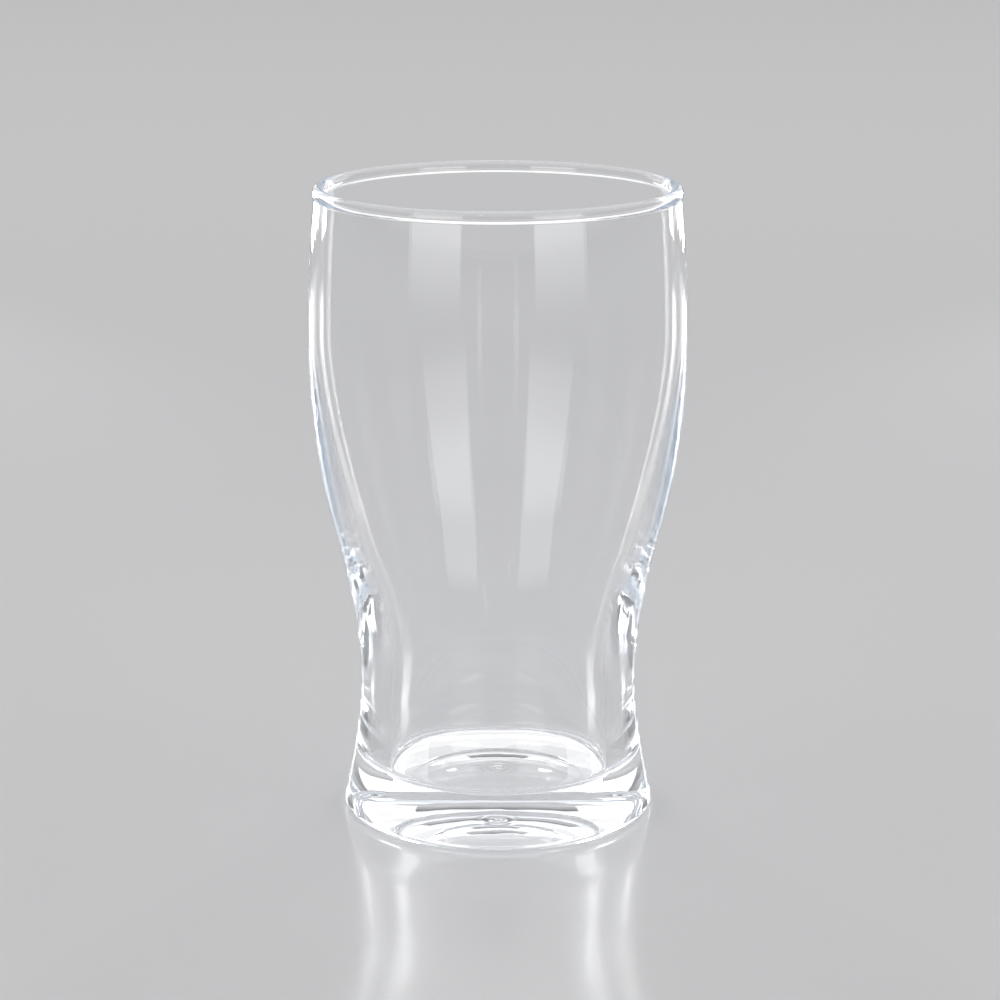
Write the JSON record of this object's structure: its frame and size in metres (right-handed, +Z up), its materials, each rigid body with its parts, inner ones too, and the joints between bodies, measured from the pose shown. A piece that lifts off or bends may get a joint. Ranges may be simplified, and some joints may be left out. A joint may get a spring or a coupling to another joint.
{
  "type": "tulip beer glass",
  "caption": "Clear tulip beer glass with a heavy foot, narrow waist, wide bowl and rounded rim bead.",
  "frame": {"origin": "centre of the foot, in the plane that the glass stands on", "axes": "+Z up along the axis of the glass; it is round, so X and Y are any two horizontal directions"},
  "size_m": [0.0898, 0.0898, 0.152],
  "materials": {
    "clear_glass": "clear, fire-polished, gloss all over"
  },
  "bodies": {
    "root": {"tulip_glass": "clear_glass"}
  },
  "joints": []
}
